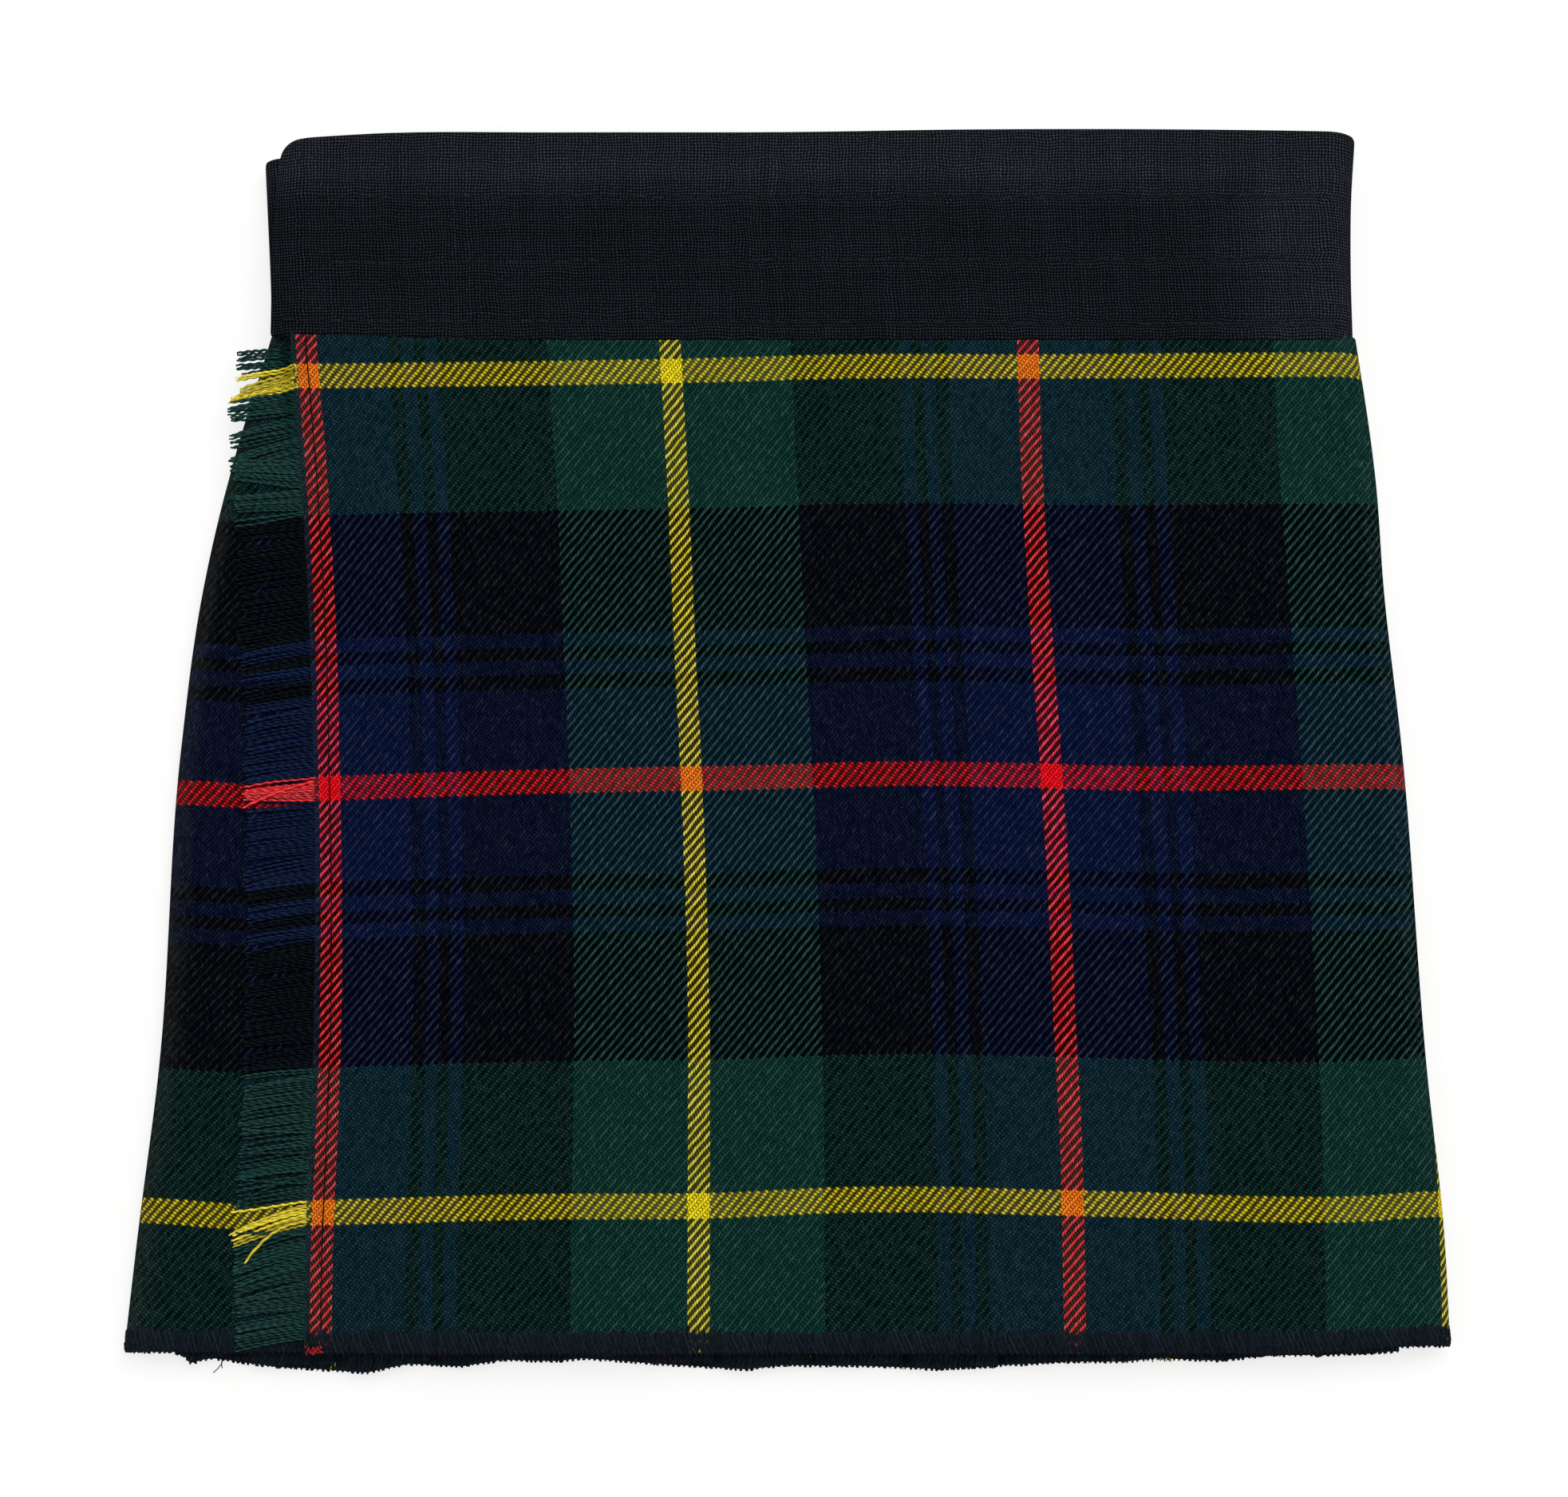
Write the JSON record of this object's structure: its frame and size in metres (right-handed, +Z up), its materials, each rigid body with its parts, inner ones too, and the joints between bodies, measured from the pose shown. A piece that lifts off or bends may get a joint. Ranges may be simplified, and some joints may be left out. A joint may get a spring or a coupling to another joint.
{
  "type": "scottish kilt laid flat",
  "caption": "Small child's wrap kilt in tartan cloth, laid flat and closed, with knife pleats at the back, a fringed apron edge and a plain waistband.",
  "frame": {"origin": "on the surface that the garment lies on, under the middle of its length and width", "axes": "+X to the closed right fold as seen from above with the waist away, +Y from the hem to the waist, +Z up out of the surface"},
  "size_m": [0.2601, 0.2509, 0.0112],
  "materials": {
    "tartan_cloth": "twill-woven wool tartan, matte with a slight nap",
    "waistband_cloth": "plain-woven cotton, matte",
    "fringe_yarn": "loose wool yarn, matte",
    "fastening_tape": "woven nylon hook-and-loop tape"
  },
  "bodies": {
    "root": {"over_apron": "tartan_cloth", "pleated_back": "tartan_cloth", "under_apron": "tartan_cloth", "apron_fringe": "fringe_yarn", "waistband_over": "waistband_cloth", "waistband_back": "waistband_cloth", "waistband_under": "waistband_cloth", "loop_tape": "fastening_tape", "hook_tape": "fastening_tape"}
  },
  "joints": []
}
